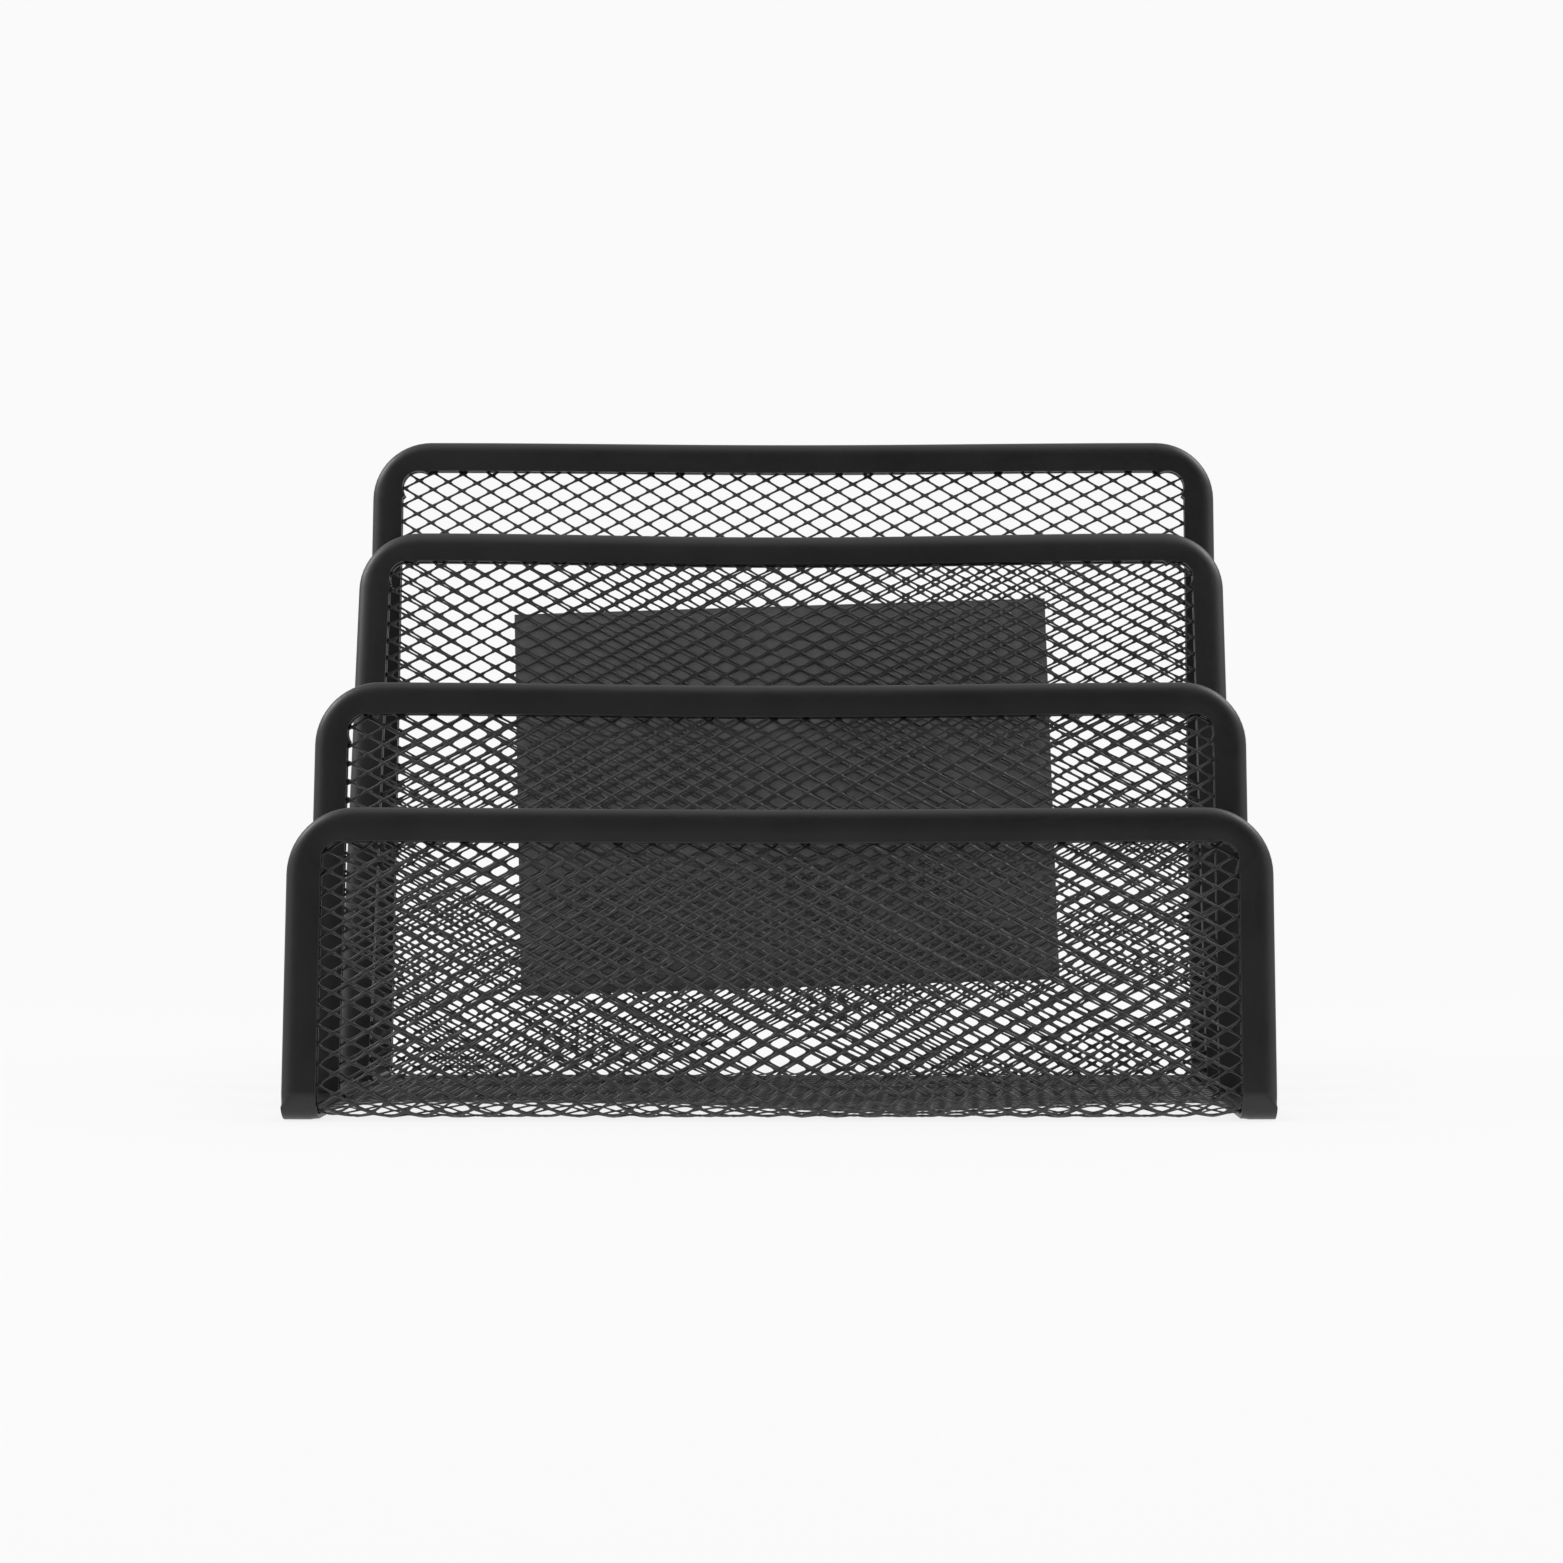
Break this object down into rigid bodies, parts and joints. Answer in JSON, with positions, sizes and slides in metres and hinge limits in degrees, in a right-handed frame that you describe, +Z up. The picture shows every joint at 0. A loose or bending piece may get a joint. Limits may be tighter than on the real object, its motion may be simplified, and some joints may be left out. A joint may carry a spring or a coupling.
{
  "type": "letter rack",
  "caption": "Desk letter rack of black expanded-metal mesh: stepped panels with bound rounded edges lean back on a mesh base and hold letters upright between them.",
  "frame": {"origin": "on the floor, midway between the rails, under the middle of the rack's box from front to back", "axes": "+Z up, -Y out of the low front panel, +X to the right of someone facing the front"},
  "size_m": [0.1708, 0.0986, 0.1281],
  "materials": {
    "binding_strip": "satin black powder coat",
    "expanded_sheet": "satin black powder coat",
    "label_card": "uncoated mid grey card"
  },
  "bodies": {
    "root": {"front_rim": "binding_strip", "divider_1_rim": "binding_strip", "divider_2_rim": "binding_strip", "back_rim": "binding_strip", "left_rail": "binding_strip", "right_rail": "binding_strip", "front_mesh": "expanded_sheet", "divider_1_mesh": "expanded_sheet", "divider_2_mesh": "expanded_sheet", "back_mesh": "expanded_sheet", "base_mesh": "expanded_sheet", "rear_label": "label_card"}
  },
  "joints": []
}
